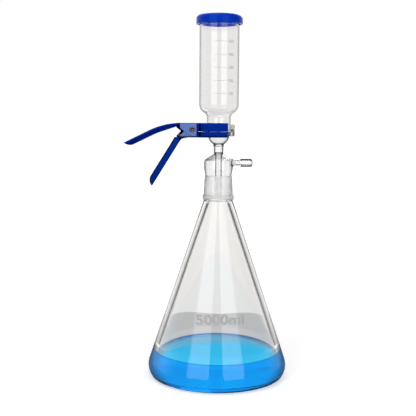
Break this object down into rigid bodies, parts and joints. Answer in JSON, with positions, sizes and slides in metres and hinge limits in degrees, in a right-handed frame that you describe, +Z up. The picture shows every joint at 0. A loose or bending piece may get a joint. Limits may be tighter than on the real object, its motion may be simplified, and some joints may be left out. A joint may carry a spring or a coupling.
{
  "type": "vacuum filtration unit",
  "caption": "Glass vacuum filtration unit: conical receiving flask, filter head with side arm, graduated funnel cup with a plastic lid, and a sprung two-lever clamp on the flanges.",
  "frame": {"origin": "centre of the receiving flask's flat base, on the surface it stands on", "axes": "+Z up along the glassware's common axis, +X along the side arm to the hose nozzle, so the clamp's handles point along -X"},
  "size_m": [0.2693, 0.2292, 0.593],
  "materials": {
    "receiving_flask": "clear polished",
    "filtrate": "clear blue liquid",
    "filter_head": "clear polished",
    "frit_disc": "sintered, porous",
    "filter_membrane": "matt",
    "funnel_cup": "clear polished",
    "cup_lid": "glossy blue",
    "clamp_upper_lever": "blue anodised",
    "clamp_lower_lever": "blue anodised",
    "pivot_pin": "satin",
    "torsion_spring": "satin"
  },
  "bodies": {
    "unit": {"receiving_flask": "receiving_flask", "filtrate": "filtrate", "filter_head": "filter_head", "frit_disc": "frit_disc", "filter_membrane": "filter_membrane", "funnel_cup": "funnel_cup", "clamp_lower_lever": "clamp_lower_lever", "pivot_pin": "pivot_pin", "torsion_spring": "torsion_spring"},
    "upper_lever": {"clamp_upper_lever": "clamp_upper_lever"},
    "lid": {"cup_lid": "cup_lid"}
  },
  "joints": [
    {"name": "upper_lever_hinge", "type": "hinge", "parent": "unit", "child": "upper_lever", "pos_m": [-0.0468, 0, 0.40965], "axis": [0, -1, 0], "range_deg": [0, 13], "stiffness_Nm_per_rad": 1.5, "springref_deg": -28.65, "deforming": ["torsion_spring"]},
    {"name": "lid_lift", "type": "slide", "parent": "unit", "child": "lid", "axis": [0, 0, 1], "range_m": [0, 0.03]}
  ]
}
